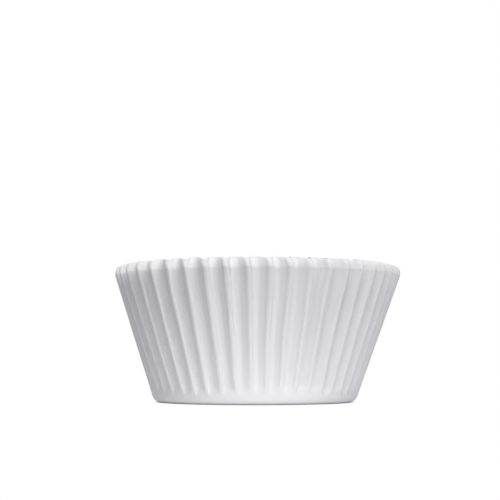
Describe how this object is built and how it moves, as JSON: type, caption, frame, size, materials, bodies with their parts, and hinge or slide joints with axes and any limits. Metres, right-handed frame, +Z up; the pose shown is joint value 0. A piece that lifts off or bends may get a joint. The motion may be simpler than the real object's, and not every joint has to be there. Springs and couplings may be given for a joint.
{
  "type": "cupcake liner",
  "caption": "White fluted paper baking cup with a flat round base, a smooth heel, a flaring pleated wall and a bevelled scalloped rim.",
  "frame": {"origin": "on the ground, below the centre of the rim", "axes": "+Z up out of the cup's mouth, -Y to the front, +X to the right seen from the front; the base sits 0.7 mm towards -X"},
  "size_m": [0.07, 0.07, 0.0333],
  "materials": {
    "paper": "matt white greaseproof paper"
  },
  "bodies": {
    "root": {"liner": "paper"}
  },
  "joints": []
}
